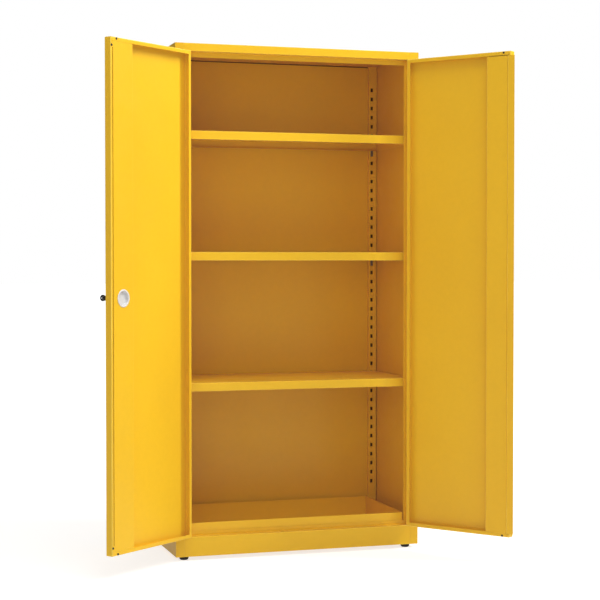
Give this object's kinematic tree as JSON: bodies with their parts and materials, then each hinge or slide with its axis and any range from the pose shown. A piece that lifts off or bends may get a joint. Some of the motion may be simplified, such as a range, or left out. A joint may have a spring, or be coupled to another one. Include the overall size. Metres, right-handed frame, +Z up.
{
  "type": "flammable storage cabinet",
  "caption": "Tall yellow steel safety cabinet with hinged doors, adjustable shelves on clips, a deep lift-out spill tray and a locking handle with rods.",
  "frame": {"origin": "middle of the whole object's box at the bottom, with the doors open as they stand in the rest pose", "axes": "+X to the right seen from the front, +Y to the back, +Z up"},
  "size_m": [1.4396, 0.8318, 1.83],
  "materials": {
    "carcass_paint": "satin powder coat",
    "door_paint": "satin powder coat",
    "shelf_paint": "satin powder coat",
    "zinc_plate": "bright zinc plate",
    "chrome_trim": "polished",
    "black_plastic": "moulded",
    "black_rubber": "matt",
    "grey_plastic": "moulded"
  },
  "bodies": {
    "carcass": {"side_panel_left": "carcass_paint", "side_panel_right": "carcass_paint", "back_panel": "carcass_paint", "top_panel": "carcass_paint", "plinth": "carcass_paint", "base_panel": "carcass_paint", "upright_front_left": "carcass_paint", "upright_front_right": "carcass_paint", "upright_rear_left": "carcass_paint", "upright_rear_right": "carcass_paint", "shelf_clip_upper_front_left": "zinc_plate", "shelf_clip_upper_front_right": "zinc_plate", "shelf_clip_upper_rear_left": "zinc_plate", "shelf_clip_upper_rear_right": "zinc_plate", "shelf_clip_middle_front_left": "zinc_plate", "shelf_clip_middle_front_right": "zinc_plate", "shelf_clip_middle_rear_left": "zinc_plate", "shelf_clip_middle_rear_right": "zinc_plate", "shelf_clip_lower_front_left": "zinc_plate", "shelf_clip_lower_front_right": "zinc_plate", "shelf_clip_lower_rear_left": "zinc_plate", "shelf_clip_lower_rear_right": "zinc_plate", "hinge_frame_leaf_left_upper": "carcass_paint", "hinge_pin_left_upper": "zinc_plate", "hinge_frame_leaf_left_lower": "carcass_paint", "hinge_pin_left_lower": "zinc_plate", "hinge_frame_leaf_right_upper": "carcass_paint", "hinge_pin_right_upper": "zinc_plate", "hinge_frame_leaf_right_lower": "carcass_paint", "hinge_pin_right_lower": "zinc_plate"},
    "left_door": {"door_skin_left": "door_paint", "door_stiffener_left": "door_paint", "door_buffer_left_top": "black_rubber", "door_buffer_left_bottom": "black_rubber", "door_buffer_left_edge_top": "black_rubber", "door_buffer_left_edge_bottom": "black_rubber", "hinge_door_leaf_left_upper": "door_paint", "hinge_door_leaf_left_lower": "door_paint", "lock_escutcheon": "chrome_trim", "lock_inner_cap": "grey_plastic"},
    "right_door": {"door_skin_right": "door_paint", "door_stiffener_right": "door_paint", "door_buffer_right_top": "black_rubber", "door_buffer_right_bottom": "black_rubber", "hinge_door_leaf_right_upper": "door_paint", "hinge_door_leaf_right_lower": "door_paint"},
    "handle": {"lock_t_handle": "black_plastic", "lock_cam": "zinc_plate"},
    "key": {"lock_cylinder": "chrome_trim", "lock_key": "black_plastic"},
    "rod_upper": {"lock_rod_upper": "zinc_plate"},
    "rod_lower": {"lock_rod_lower": "zinc_plate"},
    "shelf_upper": {"shelf_upper": "shelf_paint"},
    "shelf_middle": {"shelf_middle": "shelf_paint"},
    "shelf_lower": {"shelf_lower": "shelf_paint"},
    "spill_tray": {"spill_tray": "shelf_paint"},
    "foot_front_left": {"levelling_foot_front_left": "black_plastic"},
    "foot_front_right": {"levelling_foot_front_right": "black_plastic"},
    "foot_rear_left": {"levelling_foot_rear_left": "black_plastic"},
    "foot_rear_right": {"levelling_foot_rear_right": "black_plastic"}
  },
  "joints": [
    {"name": "left_door_swing", "type": "hinge", "parent": "carcass", "child": "left_door", "pos_m": [-0.38929, -0.04644, 0.9435], "axis": [0, 0, -1], "range_deg": [-141.5, 18.5]},
    {"name": "right_door_swing", "type": "hinge", "parent": "carcass", "child": "right_door", "pos_m": [0.46261, -0.04644, 0.9435], "axis": [0, 0, 1], "range_deg": [-128, 32]},
    {"name": "handle_turn", "type": "hinge", "parent": "left_door", "child": "handle", "pos_m": [-0.68366, -0.26181, 0.94], "axis": [-0.6225, 0.7826, 0], "range_deg": [0, 90]},
    {"name": "rod_upper_slide", "type": "slide", "parent": "left_door", "child": "rod_upper", "axis": [0, 0, 1], "range_m": [0, 0.018]},
    {"name": "rod_lower_slide", "type": "slide", "parent": "left_door", "child": "rod_lower", "axis": [0, 0, -1], "range_m": [0, 0.0181]},
    {"name": "key_turn", "type": "hinge", "parent": "handle", "child": "key", "pos_m": [-0.68366, -0.26181, 0.94], "axis": [-0.6225, 0.7826, 0], "range_deg": [0, 90]},
    {"name": "shelf_upper_lift", "type": "slide", "parent": "carcass", "child": "shelf_upper", "axis": [0, 0, 1], "range_m": [0, 0.03]},
    {"name": "shelf_middle_lift", "type": "slide", "parent": "carcass", "child": "shelf_middle", "axis": [0, 0, 1], "range_m": [0, 0.03]},
    {"name": "shelf_lower_lift", "type": "slide", "parent": "carcass", "child": "shelf_lower", "axis": [0, 0, 1], "range_m": [0, 0.03]},
    {"name": "spill_tray_lift", "type": "slide", "parent": "carcass", "child": "spill_tray", "axis": [0, 0, 1], "range_m": [0, 0.08]},
    {"name": "foot_front_left_turn", "type": "hinge", "parent": "carcass", "child": "foot_front_left", "pos_m": [-0.38434, -0.00514, 0.015], "axis": [0, 0, 1], "continuous": true},
    {"name": "foot_front_right_turn", "type": "hinge", "parent": "carcass", "child": "foot_front_right", "pos_m": [0.45766, -0.00514, 0.015], "axis": [0, 0, 1], "continuous": true},
    {"name": "foot_rear_left_turn", "type": "hinge", "parent": "carcass", "child": "foot_rear_left", "pos_m": [-0.38434, 0.37986, 0.015], "axis": [0, 0, 1], "continuous": true},
    {"name": "foot_rear_right_turn", "type": "hinge", "parent": "carcass", "child": "foot_rear_right", "pos_m": [0.45766, 0.37986, 0.015], "axis": [0, 0, 1], "continuous": true}
  ],
  "couplings": [
    {"joint": "handle_turn", "follows": "rod_upper_slide", "rad_per_m": 87.26},
    {"joint": "rod_lower_slide", "follows": "rod_upper_slide", "ratio": 1}
  ]
}
